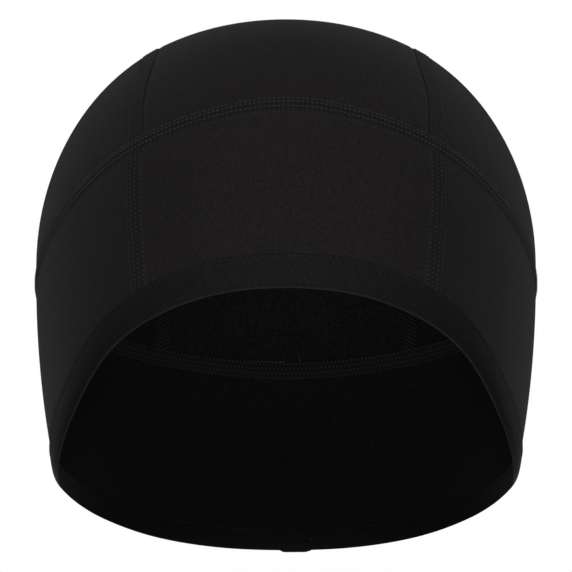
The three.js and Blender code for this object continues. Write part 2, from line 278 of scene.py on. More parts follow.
def outward(plain):
    """The normal: the cross product of a small step round and a small step up, both on the head."""
    level = np.stack([-plain[..., 1], plain[..., 0], 0 * plain[..., 0]], -1)
    at_top = np.linalg.norm(level, axis=-1, keepdims=True) < SMALL
    level = unit(np.where(at_top, [1.0, 0, 0], level))
    slopes = [
        head_point(to_plain(plain + way * SMALL)) - head_point(to_plain(plain - way * SMALL))
        for way in (level, np.cross(plain, level))
    ]
    return unit(np.cross(*slopes))


def lifted(plain, out):
    """The head's point, moved outwards."""
    return head_point(plain) + outward(plain) * np.asarray(out)[..., None]


def along(line, at):
    """The way of a line, from a small step on the head."""
    return unit(head_point(line(at + SMALL)) - head_point(line(at - SMALL)))


def sideways(line, at):
    """The way to the left of a line on the head: the normal crossed with the line's way."""
    return np.cross(outward(line(at)), along(line, at))


def beside(line, at, distance):
    """The point at a distance to the left of a line, seen from outside."""
    side = sideways(line, at) * np.asarray(distance)[..., None]
    return from_head(head_point(line(at)) + side)


def solve(value, low, high):
    """Where a rising or falling value passes nought: the bracket is halved 19 times."""
    low, high = np.asarray(low, float), np.asarray(high, float)
    rising = value(high) > value(low)
    for _ in range(19):
        middle = (low + high) / 2
        above = (value(middle) > 0) == rising
        low, high = np.where(above, low, middle), np.where(above, middle, high)
    return (low + high) / 2


def meeting(line, distance, low, high, other, gap, other_low, other_high):
    """The number on a line at which the place beside it comes to a distance from another line."""
    distance = np.asarray(distance, float)

    def miss(at):
        point = head_point(beside(line, at, distance))
        span = [np.full(distance.shape, end, float) for end in (other_low, other_high)]
        nearest = solve(lambda n: np.sum((head_point(other(n)) - point) * along(other, n), -1), *span)
        return np.sum((point - head_point(other(nearest))) * sideways(other, nearest), -1) - gap

    return solve(miss, np.full(distance.shape, low, float), np.full(distance.shape, high, float))


def rim_line(turn):
    """The rim's edge: its height is read at each turn from the front."""
    return plain_point(turn, course(turn, RIM_HEIGHTS))


def cross_line(turn):
    """The middle of the cross seam, read in the same way."""
    return plain_point(turn, course(turn, SEAM_HEIGHTS))


def turn_at(line, width, low, high):
    """The turn at which a closed line is half a width from the middle."""
    return solve(lambda turn: head_point(line(turn))[..., 0] - width / 2, low, high)


rim_turn = turn_at(rim_line, STRIP_RIM, 5, 80)
front_turn = turn_at(cross_line, 2 * STRIP_HALVES[0], 5, 80)
back_turn = turn_at(cross_line, 2 * STRIP_HALVES[-1], 100, 175)


def front_line(share):
    """The upright seam on the left: straight on the plain form from the rim up to the cross seam."""
    share = np.asarray(share)[..., None]
    return to_plain(lerp(rim_line(rim_turn), cross_line(front_turn), share))


def over_top(side, angle):
    """The point a share sideways at an angle over the top: a circle above the widest level, upright below."""
    across = np.sqrt(1 - side**2)
    low = np.sin(angle) < 0
    y = np.where(low, across * np.sign(-np.cos(angle)), -across * np.cos(angle))
    return np.stack([side, y, np.where(low, -y * np.tan(angle), across * np.sin(angle))], -1)


def over_angle(plain):
    """The angle of a point over the top, from the front."""
    return np.arctan2(plain[2], -plain[1]) % (2 * math.pi)


front_angle, back_angle = over_angle(cross_line(front_turn)), over_angle(cross_line(back_turn))


def crown_line(share):
    """The crown seam on the left: its distance from the middle is read at every tenth from front to back."""
    share = np.asarray(share, float)
    reach = course(share * 180, STRIP_HALVES)
    angle = lerp(front_angle, back_angle, share)
    side = reach / HALF_WIDTH
    for _ in range(5):
        side = side * reach / head_point(over_top(side, angle))[..., 0]
    return over_top(side, angle)


def crown_ends(across, gap):
    """The ends of lines beside the crown seam, a gap over the cross seam."""
    spans = [(0, 0.2, front_turn), (0.8, 1, back_turn)]
    return [
        meeting(crown_line, across, low, high, cross_line, gap, turn - NEAR, turn + NEAR)
        for low, high, turn in spans
    ]


def front_ends(across, foot, gap):
    """The ends of lines beside the upright seam, a foot over the rim and a gap under the cross seam."""
    return [
        meeting(front_line, across, 0, 0.5, rim_line, foot, rim_turn - NEAR, rim_turn + NEAR),
        meeting(front_line, across, 0.7, 1, cross_line, -gap, front_turn - NEAR, front_turn + NEAR),
    ]


def turn_to(line, distance, turn, other, gap, low, high):
    """The turn at which a line beside the rim or the cross seam comes to a gap from a seam that meets it."""
    return meeting(line, distance, turn - NEAR / 2, turn + NEAR / 2, other, gap, low, high)


def edge(line, distance, ends):
    """A line beside another, from its first end at 0 to its second at 1."""
    return lambda share: beside(line, lerp(*ends, share), distance)


def mirrored(line):
    """The same line on the other side of the cap."""
    return lambda share: line(share) * [-1, 1, 1]


def patch(bottom, top, left, right, u, v):
    """Both pairs of edges blended and added, less the corners that are then counted twice."""
    corners = [[bottom(0.0), bottom(1.0)], [top(0.0), top(1.0)]]
    u, v = u[None, :, None], v[:, None, None]
    point = bottom(u[0, :, 0]) * (1 - v) + top(u[0, :, 0]) * v
    point = point + left(v[:, 0, 0])[:, None] * (1 - u) + right(v[:, 0, 0])[:, None] * u
    for row, down in zip(corners, (1 - v, v)):
        for corner, side in zip(row, (1 - u, u)):
            point = point - corner * side * down
    return to_plain(point)


def add_piece(name, points, faces, finish, nodes=(), maps=None, inside=None):
    """Makes a mesh object at the origin from points in millimetres and faces of equal size.
    The faces are turned outwards, all at once, by the sign of the volume they enclose."""
    points = points.reshape(-1, 3) / 1000
    a, b, c = (points[faces[:, i]] for i in (0, 1, 2))
    volume = np.sum(a * np.cross(b, c))
    if faces.shape[1] == 4:
        volume += np.sum(a * np.cross(c, points[faces[:, 3]]))
    if volume < 0:
        faces = faces[:, ::-1]
    mesh = bpy.data.meshes.new(name)
    mesh.vertices.add(len(points))
    mesh.vertices.foreach_set("co", points.ravel())
    mesh.loops.add(faces.size)
    mesh.polygons.add(len(faces))
    mesh.polygons.foreach_set("loop_start", np.arange(0, faces.size, faces.shape[1]))
    mesh.polygons.foreach_set("vertices", faces.ravel())
    mesh.update(calc_edges=True)
    for map_name, values in (maps or {}).items():
        if values.shape[-1] == 2:
            layer = mesh.uv_layers.new(name=map_name)
            layer.data.foreach_set("uv", values.reshape(-1, 2)[faces.ravel()].ravel())
        else:
            layer = mesh.attributes.new(map_name, "FLOAT", "POINT")
            layer.data.foreach_set("value", values.ravel())
    for surface in finish:
        mesh.materials.append(surface)
    if inside is not None:
        mesh.polygons.foreach_set("material_index", inside.astype(np.int32))
    made = bpy.data.objects.new(name, mesh)
    bpy.context.scene.collection.objects.link(made)
    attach(made, "root")
    if nodes:
        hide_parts(*nodes)
    return made


def runs(points, axis):
    """Lengths summed along one axis of a grid of points."""
    step = np.linalg.norm(np.diff(points, axis=axis), axis=-1)
    start = np.zeros_like(np.take(step, [0], axis))
    return np.concatenate([start, np.cumsum(step, axis)], axis)


def shell(outer, inner):
    """Faces of a closed sheet between two grids: both grids, the second one turned round, and a strip
    that joins them along the border."""
    rows, columns = outer.shape[:2]
    index = np.arange(rows * columns).reshape(rows, columns)
    grid = np.stack([index[:-1, :-1], index[:-1, 1:], index[1:, 1:], index[1:, :-1]], -1).reshape(-1, 4)
    border = np.concatenate([index[0, :-1], index[:-1, -1], index[-1, :0:-1], index[:0:-1, 0]])
    ahead = np.roll(border, -1)
    size = rows * columns
    rim = np.stack([border, border + size, ahead + size, ahead], -1)
    faces = np.concatenate([grid, (grid + size)[:, ::-1], rim])
    return np.stack([outer, inner]), faces, np.arange(len(faces)) >= len(grid)


def cloth_depth(over_rim):
    """How thick the cloth is at a height over the rim: the binding presses it together at its raw edge."""
    return CLOTH * (1 - HEM * np.exp(-((over_rim / HEM_REACH) ** 2)))


GROOVE_REACH = 1.2
GATHER, GATHER_LENGTH, GATHER_REACH = 0.09, 6.2, 3.5  # the waves' depth, their length and how far they go
DRIFT, DRIFT_LENGTH = 0.35, 9.7  # how the waves' length comes and goes


def panel(name, plain, node, grooves, bound=False):
    """A panel over a grid of the plain form. grooves tells how far its face sinks along its first, last,
    lower and upper edge, as a bell of the distance from it, and the cloth gathers a little there, in waves
    that die out over a few millimetres."""
    face = head_point(plain)
    over, up = runs(face, 1), runs(face, 0)
    far = [(over, up), (over[:, -1:] - over, up), (up, over), (up[-1:] - up, over)]
    relief = np.zeros(over.shape)
    for groove, (away, run) in zip(grooves, far):
        if groove is not None:
            relief -= groove * np.exp(-((away / GROOVE_REACH) ** 2))
            wave = np.sin(2 * math.pi * (run / GATHER_LENGTH + DRIFT * np.sin(run / DRIFT_LENGTH)))
            relief += GATHER * wave * np.exp(-away / GATHER_REACH)
    cloth_map = np.stack([over - over[:, -1:] / 2, up], -1) / 1000
    depth = cloth_depth(up + RAW_EDGE) if bound else CLOTH
    points, faces, inside = shell(lifted(plain, relief), lifted(plain, relief / 2 - depth))
    made = add_piece(
        name,
        points,
        faces,
        [jersey_face, jersey_back],
        [node],
        {"cloth": np.stack([cloth_map, cloth_map])},
        inside,
    )


WALE, LOOP = 0.00062, 0.00052  # the jersey's ribs and the loops in them, in metres


def jersey_bump(shade):
    """Ribs as a cosine across, loops as a cosine along that bends down to both sides of each rib, and fuzz
    as noise."""
    place = shade.node("ShaderNodeUVMap", {"uv_map": "cloth"}, {})
    split = shade.node("ShaderNodeSeparateXYZ", {}, {0: place})
    rib = split * (1 / WALE)
    leg = shade.maths("PINGPONG", rib, 0.5)
    loop = (split.output("Y") * (1 / LOOP) + leg).wave()
    fuzz = place.noise(2400.0, 3.0)
    height = rib.wave() * 0.5 + loop * 0.25 + fuzz * 1.6
    return shade.node("ShaderNodeBump", {}, {"Strength": 0.45, "Distance": 0.00012, "Height": height})


def jersey_colour(shade):
    """Near black with a faint purple cast; fibres and broad clouds move it between two tones."""
    place = shade.node("ShaderNodeTexCoord", {}, {}).output("Object")
    fibres = place.noise(1100.0, 2.0)
    clouds = place.noise(28.0, 2.0)
    return (fibres * 3.6 + clouds * 0.7 - 1.65).blend((0.0073, 0.0061, 0.0067), (0.0131, 0.0110, 0.0120))


def brushed_bump(shade):
    """The pile as fine noise, over broader tufts."""
    place = shade.node("ShaderNodeTexCoord", {}, {}).output("Object")
    pile = place.noise(900.0, 4.0)
    tufts = place.noise(260.0, 2.0)
    return shade.node(
        "ShaderNodeBump", {}, {"Strength": 0.6, "Distance": 0.0004, "Height": pile + tufts * 0.7}
    )


def brushed_colour_and_painted_light(shade):
    """Near black, speckled by the pile, with painted light that makes it a little lighter from the nape up
    into the crown.
    """
    place = shade.node("ShaderNodeTexCoord", {}, {}).output("Object")
    pile = place.noise(1000.0, 3.0) * 4.4 - 1.7
    height = shade.node("ShaderNodeSeparateXYZ", {}, {0: place}).output("Z")
    # painted light: the inside is drawn lighter from the nape up into the crown, where more light falls into
    # the cap
    lift = shade.node("ShaderNodeMapRange", {}, {"Value": height, "From Min": -0.118, "From Max": -0.077})
    low = pile.blend((0.0033, 0.0030, 0.0031), (0.0073, 0.0067, 0.0070))
    return lift.blend(low, pile.blend((0.0054, 0.0046, 0.0049), (0.0116, 0.0101, 0.0107)))


jersey_face = material(
    "jersey_face",
    Base_Color=jersey_colour,
    Roughness=0.85,
    Specular_IOR_Level=0.12,
    Sheen_Weight=0.05,
    Sheen_Roughness=0.45,
    Normal=jersey_bump,
)
jersey_back = material(
    "jersey_back",
    Base_Color=brushed_colour_and_painted_light,
    Roughness=0.95,
    Specular_IOR_Level=0.06,
    Sheen_Weight=0.015,
    Sheen_Roughness=0.6,
    Normal=brushed_bump,
)

strip_ends = crown_ends(TUCK, TUCK)
strip_left = edge(crown_line, TUCK, strip_ends)
strip_front = turn_to(cross_line, TUCK, front_turn, crown_line, TUCK, -0.1, 0.3)
strip_back = turn_to(cross_line, TUCK, back_turn, crown_line, TUCK, 0.7, 1.1)
strip_plain = patch(
    edge(cross_line, TUCK, (-strip_front, strip_front)),
    edge(cross_line, TUCK, (360 - strip_back, strip_back)),
    mirrored(strip_left),
    strip_left,
    np.linspace(0, 1, 65),
    np.linspace(0, 1, 181),
)
panel("centre_strip", strip_plain, "crown_strip", (0.5, 0.5, 0.05, 0.05))

side_top = edge(crown_line, -TUCK, crown_ends(-TUCK, TUCK))
side_turns = [
    turn_to(cross_line, TUCK, turn, crown_line, -TUCK, low, low + 0.4)
    for turn, low in ((front_turn, -0.1), (back_turn, 0.7))
]
side_foot = edge(cross_line, TUCK, side_turns)
side_shares = (1 - np.cos(math.pi * np.linspace(0.02, 0.98, 151))) / 2
side_over = np.linspace(0, 1, 41)[None, :, None]
side_plain = to_plain(lerp(side_foot(side_shares)[:, None], side_top(side_shares)[:, None], side_over))
for side, way in (("left", 1), ("right", -1)):
    panel(
        "crown_panel_" + side,
        side_plain * [way, 1, 1],
        "crown_side_" + side,
        (0.05, 0.0, None, None),
    )

front_inner = edge(front_line, TUCK, front_ends(TUCK, RAW_EDGE, TUCK))
brow_turn = turn_to(rim_line, RAW_EDGE, rim_turn, front_line, TUCK, -0.3, 0.5)
brow_top_turn = turn_to(cross_line, -TUCK, front_turn, front_line, TUCK, 0.5, 1.3)
front_plain = patch(
    edge(rim_line, RAW_EDGE, (-brow_turn, brow_turn)),
    edge(cross_line, -TUCK, (-brow_top_turn, brow_top_turn)),
    mirrored(front_inner),
    front_inner,
    np.linspace(0, 1, 71),
    np.linspace(0, 1, 45),
)
panel("forehead_panel", front_plain, "front_panel", (0.2, 0.2, None, 0.05), True)

front_outer = edge(front_line, -TUCK, front_ends(-TUCK, RAW_EDGE, TUCK))
nape_turn = turn_to(rim_line, RAW_EDGE, rim_turn, front_line, -TUCK, -0.3, 0.5)
nape_top_turn = turn_to(cross_line, -TUCK, front_turn, front_line, -TUCK, 0.5, 1.3)
nape_plain = patch(
    edge(rim_line, RAW_EDGE, (nape_turn, 360 - nape_turn)),
    edge(cross_line, -TUCK, (nape_top_turn, 360 - nape_top_turn)),
    front_outer,
    mirrored(front_outer),
    np.linspace(0, 1, 301),
    np.linspace(0, 1, 51),
)
panel("ear_and_nape_panel", nape_plain, "nape_panel", (0.12, 0.12, None, 0.05), True)

# Flat seams
# The panels' edges are lapped and held by four needle threads and the cover threads between them, on both
# faces. The crown's seams and the forehead's are sewn first, and the cross seam runs over their ends.

# Rows of threads: the place across the seam, the slant from the seam's way in degrees, a thread's length,
# width and height, and which of the seam's three threads it is
CROSS_ROWS = np.array(
    [
        [2.45, 4, 0.85, 0.44, 0.34, 0],
        [0.935, 3, 1.0, 0.5, 0.34, 0],
        [-0.935, 3, 1.0, 0.52, 0.34, 0],
        [-2.85, 58, 1.1, 0.42, 0.28, 1],
    ]
)
BACK_ROWS = np.array(
    [
        [2.95, -52, 1.15, 0.6, 0.46, 0],
        [0.95, 14, 1.0, 0.62, 0.46, 1],
        [-0.9, 14, 1.0, 0.62, 0.46, 1],
        [-2.7, 10, 0.9, 0.46, 0.32, 1],
    ]
)
UPRIGHT_ROWS = np.array(
    [
        [2.65, -63, 1.35, 0.42, 0.28, 1],
        [0.9, -52, 1.15, 0.46, 0.32, 1],
        [-0.9, 0, 0.95, 0.6, 0.38, 1],
        [-2.6, 0, 0.7, 0.32, 0.16, 2],
    ]
)
CROWN_ROWS = np.array(
    [
        [2.3, -56, 1.15, 0.27, 0.26, 0],
        [1.1, -66, 1.25, 0.27, 0.28, 0],
        [-0.1, -56, 1.15, 0.27, 0.27, 0],
        [-1.3, -66, 1.25, 0.27, 0.28, 0],
        [-2.5, -56, 1.15, 0.27, 0.27, 0],
    ]
)
STITCH, CROWN_DENSITY = 1.53, 1.5  # one stitch along a seam, and how many threads the crown's have to it
STRAY, LEAN, STEADY = 0.12, 12, 0.25  # a thread's largest offset and turn, and the steadier seams' share
COVER_WIDTH, COVER_HEIGHT, THREAD_LIFT = 0.22, 0.2, 0.04
RIDGE, LOBE, PIT = 0.26, 0.13, 0.12  # heights of a seam's plateau and of the relief on it
ROW_REACH = 0.48
SLOPE, STEP = 1.2, 0.35  # the width of a seam's side, where it runs out softly and where it steps down
BETWEEN, STEP_SHADE, FOOT_SHADE, BACK_SHADE = 0.6, 0.88, 0.9, 0.65  # how dark the painted shade is in a seam's hollows, over a stepped seam and at its step's foot, and how dark its inner face is
FOOT_PLACE, FOOT_WIDTH = 2.6, 0.3  # the painted shadow line at the foot of the step


def relief_parts(across, run, rows):
    """Two shares: how near a place is to a row of stitches, as bells, and how near to a needle hole in it."""
    near = sum(np.exp(-(((across - row) / ROW_REACH) ** 2)) for row in rows)
    return near, near * (1 + np.cos(2 * math.pi * run / STITCH)) / 2


def ridge(seam, face, across, run):
    """Height of a seam: a low plateau with soft sides, or with a step on its first side, a lobe under each
    row of stitches and a pit at each needle hole."""
    width = np.where(across > 0, STEP if seam.stepped else SLOPE, SLOPE)
    side = np.clip((SEAM_HALF - np.abs(across)) / width, 0, 1)
    near, holes = relief_parts(across, run, seam.rows[face][slice(*seam.lobes), 0])
    lobe = LOBE if face > 0 else 0
    return seam.depth * side * side * (3 - 2 * side) * (RIDGE + lobe * (2 * near - 1) - PIT * holes)


def even(line, low, high, step):
    """Numbers at equal steps of length along a line, with the lengths: the sum along a fine chain is read
    backwards."""
    fine = np.linspace(low, high, 4001)
    run = runs(head_point(line(fine)), 0)
    count = round(run[-1] / step)
    marks = np.linspace(0, run[-1], count + 1)
    return np.interp(marks, run, fine), marks


class Seam:
    """A flat seam along a line. Its ends may differ across it, where it stops at another seam's edge. lobes
    are the first of its rows that stands on a lobe, and the one after the last."""

    def __init__(self, line, across, ends, rows, depth, side=1, closed=False, stepped=False, lobes=(0, 4)):
        self.line, self.side, self.closed, self.stepped, self.lobes = line, side, closed, stepped, lobes
        self.rows, self.depth, self.across = rows, depth, across
        self.lows, self.highs = lows, highs = ends
        middle = len(across) // 2
        low, high = lows[middle], highs[middle]
        at, self.run = even(line, low, high, STITCH / 4)
        if closed:
            self.run = self.run * (round(self.run[-1] / STITCH) * STITCH / self.run[-1])
        self.share = (at - low) / (high - low)

    def place(self, run, across, out):
        """The point at a length along, a distance across and a height over the cloth's face."""
        share = np.interp(run, self.run, self.share)
        low = np.interp(across, self.across, self.lows)
        high = np.interp(across, self.across, self.highs)
        return lifted(beside(self.line, lerp(low, high, share), across), out) * [self.side, 1, 1]

    def frame(self, run, across, out):
        """A point with the seam's way along, its way across, and the way out of the cloth."""
        point = self.place(run, across, out)
        ahead = unit(self.place(run + 0.1, across, out) - self.place(run - 0.1, across, out))
        over = self.place(run, across + 0.1, out) - self.place(run, across - 0.1, out)
        out_way = unit(np.cross(ahead, over)) * self.side
        return point, ahead, unit(np.cross(out_way, ahead)) * self.side, out_way


def carried(index, half=None):
    """Faces of a ring of points carried along a path: each ring is joined to the next, all the way round.
    Where the path is open, each end is closed by joining the points of the ring's first half to those of
    its second, read backwards."""
    here, ahead = (index, np.roll(index, -1, 0)) if half is None else (index[:-1], index[1:])
    sides = np.stack([here, np.roll(here, -1, 1), np.roll(ahead, -1, 1), ahead], -1).reshape(-1, 4)
    if half is None:
        return sides
    front, back = index[0, :half], index[0, : half - 1 : -1]
    end = np.stack([front[:-1], front[1:], back[1:], back[:-1]], -1)
    return np.concatenate([sides, end[:, ::-1], end + index[-1, 0]])


def seam_cloth(name, seam, node):
    """The lapped edges under the stitches: the ridge on the outside and its mirror on the inside, carried
    along the seam and closed."""
    run = seam.run[:-1] if seam.closed else seam.run
    across = np.linspace(-SEAM_HALF, SEAM_HALF, 23)
    heights = [ridge(seam, face, across[None], run[:, None]) for face in (1, -1)]
    outer = seam.place(run[:, None], across[None], heights[0])
    inner = seam.place(run[:, None], across[None], -CLOTH - heights[1])[:, ::-1]
    ring = np.concatenate([outer, inner], 1)
    index = np.arange(ring[..., 0].size).reshape(ring.shape[:2])
    faces = carried(index, None if seam.closed else len(across))
    steps = np.concatenate([across, across[::-1]])
    cloth_map = np.stack(np.broadcast_arrays(run[:, None], steps[None]), -1) / 1000
    parts = [relief_parts(across[None], run[:, None], seam.rows[face][:, 0]) for face in (1, -1)]
    near, holes = [np.concatenate([one, other[:, ::-1]], 1) for one, other in zip(*parts)]
    inward = np.clip((SEAM_HALF - np.abs(steps)) / SLOPE, 0, 1)[None]
    # painted shade: the hollows between the rows and round the needle holes, the whole of a stepped seam, and
    # a shadow line at its step's foot; the inner face is darker, as the brushed inside is
    hollow = seam.depth * inward * ((1 - near) * BETWEEN + holes)
    if seam.stepped:
        hollow = np.maximum(hollow, STEP_SHADE)
        hollow = np.maximum(hollow, FOOT_SHADE * np.clip((steps - FOOT_PLACE) / FOOT_WIDTH, 0, 1))
    hollow[:, len(across) :] = np.maximum(hollow[:, len(across) :], BACK_SHADE)
    maps = {"cloth": cloth_map, "hollow": hollow[..., None]}
    add_piece(name, ring, faces, [seam_jersey], [node], maps)


BEAD_STATIONS = np.array([-0.72, 0, 0.72])
BEAD_SIZES = np.array([0.72, 1, 0.72])
BEAD_POLE = -1.3


def rings(stations, around):
    """The triangles of a thread: rings of points joined one to the next, and a pole at each end."""
    index = np.arange(stations * around).reshape(stations, around)
    a, b = index[:-1], index[1:]
    over = [np.roll(a, -1, 1), np.roll(b, -1, 1)]
    first, last = index[0], index[-1]
    faces = [
        np.stack([a, over[0], b], -1),
        np.stack([over[0], over[1], b], -1),
        np.stack([np.roll(first, -1), first, 0 * first + index.size], -1),
        np.stack([last, np.roll(last, -1), 0 * last + index.size + 1], -1),
    ]
    return np.concatenate([part.reshape(-1, 3) for part in faces])


def bead(around):
    """A short thread along x: rings of points between two poles, bowed up in the middle as it leaves and
    enters the cloth."""
    angle = np.arange(around) * 2 * math.pi / around
    x = np.repeat(BEAD_STATIONS, around)
    y = np.outer(BEAD_SIZES, np.cos(angle)).ravel()
    z = np.outer(BEAD_SIZES, np.sin(angle)).ravel() - x**2
    points = np.concatenate([np.stack([x, y, z], -1), [[-1, 0, BEAD_POLE], [1, 0, BEAD_POLE]]])
    return points, rings(3, around)


def threads(centre, ahead, out, length, width, height, around=6, finish=0):
    """Beads at many places: each runs ahead, is as wide as it is told, and bows out of the cloth."""
    shape, faces = bead(around)
    over = np.cross(out, ahead)
    sizes = [np.broadcast_to(size, len(centre))[:, None, None] for size in (length, width, height)]
    ways = [way[:, None, :] for way in (ahead, over, out)]
    points = centre[:, None, :]
    for way, size, part in zip(ways, sizes, shape.T):
        points = points + way * size / 2 * part[None, :, None]
    faces = faces[None] + (np.arange(len(centre)) * len(shape))[:, None, None]
    return points.reshape(-1, 3), faces.reshape(-1, 3), finish


def seam_rows(seam, face, dense=1):
    """Needle threads in rows, each row with its slant from the seam's way and so many to a stitch, and thin
    cover threads, sunk between the rows, that cross from row to row and back once in a stitch. face is 1
    outside, -1 inside. Inside, and on the crown's seams, every other row is half a step ahead. Each thread
    lies a little beside its place and turned from its row's slant, more so on the crown's seams."""
    groups = []
    uneven = 1 if seam.stepped else STEADY
    rows = seam.rows[face]
    base = -CLOTH if face < 0 else 0
    count = int(seam.run[-1] / STITCH + 0.001)
    run = (np.arange(round(count * dense)) + 0.5) * STITCH / dense
    scatter = np.random.default_rng(7).uniform(-uneven, uneven, (len(rows), 2, len(run)))
    for row, (across, slant, length, width, height, finish) in enumerate(rows):
        at = across + STRAY * scatter[row, 0]
        ahead_by = STITCH / 2 / dense if row % 2 and (seam.stepped or face < 0) else 0
        level = base + face * (ridge(seam, face, at, run) + THREAD_LIFT)
        place, ahead, over, out = seam.frame(run - ahead_by, at, level)
        turn = np.radians(slant + LEAN * scatter[row, 1])[:, None]
        way = ahead * np.cos(turn) + over * np.sin(turn)
        groups.append(threads(place, way, out * face, length, width, height, finish=finish))
    run = np.arange(count if seam.closed else count - 1) * STITCH + STITCH / 2
    for near, far in [] if seam.stepped else zip(rows[:-1, 0], rows[1:, 0]):
        for start, ends in ((run, (near, far)), (run + STITCH / 2, (far, near))):
            end, halfway = start + STITCH / 2, start + STITCH / 4
            middle = np.full(run.shape, (near + far) / 2)
            level = base + face * ridge(seam, face, middle, halfway)
            place, _, _, out = seam.frame(halfway, middle, level)
            from_tip, to_tip = [
                seam.place(at, np.full(run.shape, over), base + 0 * at)
                for at, over in zip((start, end), ends)
            ]
            way = to_tip - from_tip
            length = np.linalg.norm(way, axis=-1)
            groups.append(
                threads(place, unit(way), out * face, length, COVER_WIDTH, COVER_HEIGHT, around=4, finish=2)
            )
    return groups


def strand(path, radius, around=5):
    """A loose thread along a path, with a radius at each point: a ring there, square to the way, and poles
    at the ends."""
    ahead = unit(np.gradient(path, axis=0))
    over = unit(np.cross(ahead, [0.3, 0.2, 1.0]))
    angle = np.arange(around) * 2 * math.pi / around
    aside = np.cross(over, ahead)
    ways = over[:, None] * np.cos(angle)[:, None] + aside[:, None] * np.sin(angle)[:, None]
    points = (path[:, None] + radius[:, None, None] * ways).reshape(-1, 3)
    return np.concatenate([points, path[:1], path[-1:]]), rings(len(path), around), 0


def add_threads(name, groups, finish):
    """Puts groups of threads into one piece: each group's faces count on from the one before."""
    points = np.concatenate([group[0] for group in groups])
    starts = np.cumsum([0] + [len(group[0]) for group in groups[:-1]])
    faces = np.concatenate([group[1] + start for group, start in zip(groups, starts)])
    kinds = np.repeat([group[2] for group in groups], [len(group[1]) for group in groups])
    return add_piece(name, points, faces, finish, inside=kinds)


def seam_colour(shade):
    """The jersey's tone, darkened by painted shade in the hollows round the needle holes and between the
    rows, and along the crown seams' step; darker too on the inner face.
    """
    hollow = shade.node("ShaderNodeAttribute", {"attribute_name": "hollow"}, {}).output("Fac")
    return hollow.blend((0.0120, 0.0105, 0.0113), (0.0050, 0.0044, 0.0047))


seam_jersey = material(
    "seam_jersey",
    Base_Color=seam_colour,
    Roughness=0.85,
    Specular_IOR_Level=0.12,
    Sheen_Weight=0.05,
    Sheen_Roughness=0.45,
    Normal=jersey_bump,
)


def thread_finish(name, tone, rough, shine):
    """A thread of one tone. rough and shine are its Roughness and its Specular IOR Level."""
    return material(name, Base_Color=(*tone, 1), Roughness=rough, Specular_IOR_Level=shine)


needle_thread = thread_finish("needle_thread", (0.0230, 0.0212, 0.0220), 0.5, 0.4)
dull_thread = thread_finish("dull_thread", (0.0165, 0.0150, 0.0157), 0.6, 0.25)
cover_thread = thread_finish("cover_thread", (0.0100, 0.0090, 0.0095), 0.7, 0.15)
seam_threads = [needle_thread, dull_thread, cover_thread]

profile = np.linspace(-SEAM_HALF - 0.1, SEAM_HALF + 0.1, 13)
at_back = np.full(len(profile), 180.0)
cross_rows = {1: CROSS_ROWS, -1: BACK_ROWS}
cross_seam = Seam(cross_line, profile, (at_back, at_back + 360), cross_rows, 1.0, closed=True, lobes=(1, 4))
seam_cloth("cross_seam_cloth", cross_seam, "cross_seam")
add_threads("cross_seam_threads_outside", seam_rows(cross_seam, 1), seam_threads)

# Two ends of needle thread lie loose inside the nape, one along the seam's upper row and one standing off
# it. Each is thick where it is teased out: places along it, and its radii there
LONG_END = np.array([[0.6, 1.4, 2.2, 4.7, 5.4, 6.2, 13.6], [0.16, 0.25, 0.16, 0.16, 0.25, 0.13, 0.11]])
SHORT_END = np.array([[0, 0.55, 0.7, 1], [0.26, 0.2, 0.13, 0.12]])
LONG_ACROSS, LONG_SWAY, LONG_OFF = 3.75, 0.12, 0.25  # its place, its sway and how far off the cloth it is
SHORT_PLACE, SHORT_CURL, SHORT_ACROSS, SHORT_REACH, SHORT_OFF, SHORT_BOW = 5.2, 0.3, 3.8, 1.6, 0.3, 1.2
long_run = np.linspace(LONG_END[0, 0], LONG_END[0, -1], 27)
long_across = LONG_ACROSS + LONG_SWAY * np.sin(long_run)
long_path = cross_seam.place(long_run, long_across, np.full(27, -CLOTH - LONG_OFF))
short_run = np.linspace(0, 1, 9)
short_path = cross_seam.place(
    cross_seam.run[-1] - SHORT_PLACE - SHORT_CURL * np.cos(3 * short_run),
    SHORT_ACROSS + SHORT_REACH * short_run,
    -CLOTH - SHORT_OFF - SHORT_BOW * short_run * (1 - short_run),
)
loose_ends = [
    strand(long_path, np.interp(long_run, *LONG_END)),
    strand(short_path, np.interp(short_run, *SHORT_END)),
]
add_threads("cross_seam_threads_inside", seam_rows(cross_seam, -1) + loose_ends, seam_threads)

SEAM_TUCK = 2.0  # the upright and crown seams end this far from the cross seam's middle, under it
SEAM_FOOT = 8.0  # the upright seams begin this far over the rim, in the binding
crown_spans = crown_ends(profile, SEAM_TUCK)
front_spans = front_ends(profile, SEAM_FOOT, SEAM_TUCK)
for side, way in (("left", 1), ("right", -1)):
    for name, node, line, spans, depth, rows, stepped, lobes, dense in (
        ("crown_seam", "crown_seam_", crown_line, crown_spans, 0.4, CROWN_ROWS, True, (0, 5), CROWN_DENSITY),
        ("forehead_seam", "front_seam_", front_line, front_spans, 0.85, UPRIGHT_ROWS, False, (0, 3), 1),
    ):
        seam = Seam(line, profile, spans, {1: rows, -1: rows}, depth, way, False, stepped, lobes)
        seam_cloth(name + "_cloth_" + side, seam, node + side)
        add_threads(name + "_threads_" + side, seam_rows(seam, 1, dense) + seam_rows(seam, -1), seam_threads)

# Rim binding
# One strip of smoother, slightly olive stretch tape, folded over the raw edge all round and held by a
# narrow zigzag near its outer edge. It starts and ends at the nape, where its end lies over its start.

